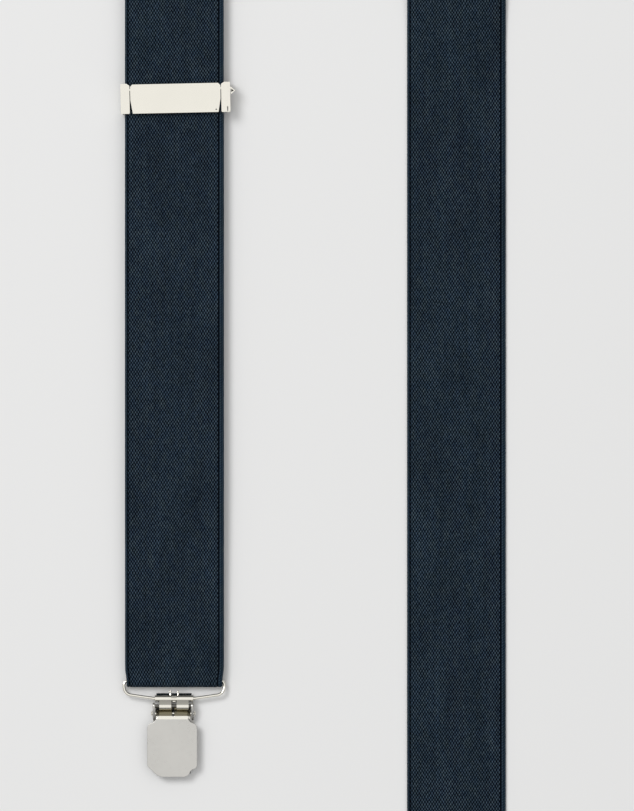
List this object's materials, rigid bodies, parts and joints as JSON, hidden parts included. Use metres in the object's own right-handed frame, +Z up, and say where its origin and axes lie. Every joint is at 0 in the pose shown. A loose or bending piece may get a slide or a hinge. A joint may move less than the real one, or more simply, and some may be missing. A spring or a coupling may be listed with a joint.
{
  "type": "suspenders",
  "caption": "Elastic Y-back suspenders with hinged metal trouser clips, wire bails and front length adjusters, laid flat and folded at the shoulders.",
  "frame": {"origin": "centre of the laid-out suspenders, on the surface that they lie on", "axes": "+Y from the clips towards the shoulder folds, +X from the left front strap towards the right, +Z up from the surface"},
  "size_m": [0.2382, 0.6296, 0.008],
  "materials": {
    "webbing": "elastic woven webbing, matte",
    "yoke_leather": "smooth grained leather",
    "polished_nickel": "polished nickel plate",
    "satin_nickel": "satin nickel plate",
    "spring_steel": "bare spring steel",
    "grip_plastic": "toothed moulded plastic"
  },
  "bodies": {
    "root_webbing": {"left_strap": "webbing", "right_strap": "webbing", "back_strap": "webbing", "yoke_outer_patch": "yoke_leather", "yoke_inner_patch": "yoke_leather"},
    "left_lower_web": {"left_lower_strap": "webbing"},
    "left_adjuster": {"left_adjuster_frame": "polished_nickel"},
    "left_cover": {"left_adjuster_cover": "polished_nickel"},
    "left_bail_body": {"left_bail": "polished_nickel"},
    "left_lever_body": {"left_lever": "polished_nickel"},
    "left_clip": {"left_back_plate": "satin_nickel", "left_lever_pin": "polished_nickel", "left_jaw_pin": "polished_nickel", "left_spring": "spring_steel", "left_back_pad": "grip_plastic"},
    "left_jaw_body": {"left_front_plate": "satin_nickel", "left_front_pad": "grip_plastic"},
    "right_lower_web": {"right_lower_strap": "webbing"},
    "right_adjuster": {"right_adjuster_frame": "polished_nickel"},
    "right_cover": {"right_adjuster_cover": "polished_nickel"},
    "right_bail_body": {"right_bail": "polished_nickel"},
    "right_lever_body": {"right_lever": "polished_nickel"},
    "right_clip": {"right_back_plate": "satin_nickel", "right_lever_pin": "polished_nickel", "right_jaw_pin": "polished_nickel", "right_spring": "spring_steel", "right_back_pad": "grip_plastic"},
    "right_jaw_body": {"right_front_plate": "satin_nickel", "right_front_pad": "grip_plastic"},
    "back_end": {"back_loop": "webbing"},
    "back_bail_body": {"back_bail": "polished_nickel"},
    "back_lever_body": {"back_lever": "polished_nickel"},
    "back_clip": {"back_back_plate": "satin_nickel", "back_lever_pin": "polished_nickel", "back_jaw_pin": "polished_nickel", "back_spring": "spring_steel", "back_back_pad": "grip_plastic"},
    "back_jaw_body": {"back_front_plate": "satin_nickel", "back_front_pad": "grip_plastic"}
  },
  "joints": [
    {"name": "left_length_adjust", "type": "slide", "parent": "root_webbing", "child": "left_lower_web", "axis": [0, 1, 0], "range_m": [-0.06, 0.03], "deforming": ["left_lower_strap", "left_strap"]},
    {"name": "left_adjuster_slide", "type": "slide", "parent": "left_lower_web", "child": "left_adjuster", "axis": [0, 1, 0], "range_m": [-0.06, 0.03], "deforming": ["left_lower_strap", "left_strap"]},
    {"name": "left_cover_hinge", "type": "hinge", "parent": "left_adjuster", "child": "left_cover", "pos_m": [-0.09962, 0.01554, 0.0065], "axis": [-0.9998, -0.0209, 0], "range_deg": [0, 60], "deforming": ["left_lower_strap", "left_strap"]},
    {"name": "left_bail_swing", "type": "hinge", "parent": "left_lower_web", "child": "left_bail_body", "pos_m": [-0.10044, -0.19429, 0.0021], "axis": [1, 0, 0], "range_deg": [-80, 80]},
    {"name": "left_lever_swing", "type": "hinge", "parent": "left_bail_body", "child": "left_lever_body", "pos_m": [-0.10044, -0.20025, 0.003], "axis": [-1, 0, 0], "range_deg": [-60, 60]},
    {"name": "left_clip_lever", "type": "hinge", "parent": "left_lever_body", "child": "left_clip", "pos_m": [-0.10044, -0.20291, 0.0037], "axis": [-1, 0, 0], "range_deg": [0, 90]},
    {"name": "left_jaw_open", "type": "hinge", "parent": "left_clip", "child": "left_jaw_body", "pos_m": [-0.10044, -0.20566, 0.002], "axis": [-1, 0, 0], "range_deg": [0, 20], "deforming": ["left_spring"]},
    {"name": "right_length_adjust", "type": "slide", "parent": "root_webbing", "child": "right_lower_web", "axis": [0, 1, 0], "range_m": [-0.06, 0.03], "deforming": ["right_lower_strap", "right_strap"]},
    {"name": "right_adjuster_slide", "type": "slide", "parent": "right_lower_web", "child": "right_adjuster", "axis": [0, 1, 0], "range_m": [-0.06, 0.03], "deforming": ["right_lower_strap", "right_strap"]},
    {"name": "right_cover_hinge", "type": "hinge", "parent": "right_adjuster", "child": "right_cover", "pos_m": [0.09962, 0.01554, 0.0065], "axis": [-0.9998, 0.0209, 0], "range_deg": [0, 60], "deforming": ["right_lower_strap", "right_strap"]},
    {"name": "right_bail_swing", "type": "hinge", "parent": "right_lower_web", "child": "right_bail_body", "pos_m": [0.10044, -0.19429, 0.0021], "axis": [1, 0, 0], "range_deg": [-80, 80]},
    {"name": "right_lever_swing", "type": "hinge", "parent": "right_bail_body", "child": "right_lever_body", "pos_m": [0.10044, -0.20025, 0.003], "axis": [-1, 0, 0], "range_deg": [-60, 60]},
    {"name": "right_clip_lever", "type": "hinge", "parent": "right_lever_body", "child": "right_clip", "pos_m": [0.10044, -0.20291, 0.0037], "axis": [-1, 0, 0], "range_deg": [0, 90]},
    {"name": "right_jaw_open", "type": "hinge", "parent": "right_clip", "child": "right_jaw_body", "pos_m": [0.10044, -0.20566, 0.002], "axis": [-1, 0, 0], "range_deg": [0, 20], "deforming": ["right_spring"]},
    {"name": "back_strap_stretch", "type": "slide", "parent": "root_webbing", "child": "back_end", "axis": [0, -1, 0], "range_m": [0, 0.1], "stiffness_N_per_m": 80, "deforming": ["back_strap", "back_loop"]},
    {"name": "back_bail_swing", "type": "hinge", "parent": "back_end", "child": "back_bail_body", "pos_m": [0, -0.28098, 0.00296], "axis": [-1, 0, 0], "range_deg": [-80, 80]},
    {"name": "back_lever_swing", "type": "hinge", "parent": "back_bail_body", "child": "back_lever_body", "pos_m": [0, -0.28696, 0.00206], "axis": [1, 0, 0], "range_deg": [-60, 60]},
    {"name": "back_clip_lever", "type": "hinge", "parent": "back_lever_body", "child": "back_clip", "pos_m": [0, -0.28961, 0.00136], "axis": [1, 0, 0], "range_deg": [0, 90]},
    {"name": "back_jaw_open", "type": "hinge", "parent": "back_clip", "child": "back_jaw_body", "pos_m": [0, -0.29235, 0.00306], "axis": [1, 0, 0], "range_deg": [0, 20], "deforming": ["back_spring"]}
  ],
  "couplings": [
    {"joint": "left_adjuster_slide", "follows": "left_length_adjust", "ratio": 1},
    {"joint": "left_jaw_open", "follows": "left_clip_lever", "ratio": 0.22222},
    {"joint": "right_adjuster_slide", "follows": "right_length_adjust", "ratio": 1},
    {"joint": "right_jaw_open", "follows": "right_clip_lever", "ratio": 0.22222},
    {"joint": "back_jaw_open", "follows": "back_clip_lever", "ratio": 0.22222}
  ]
}
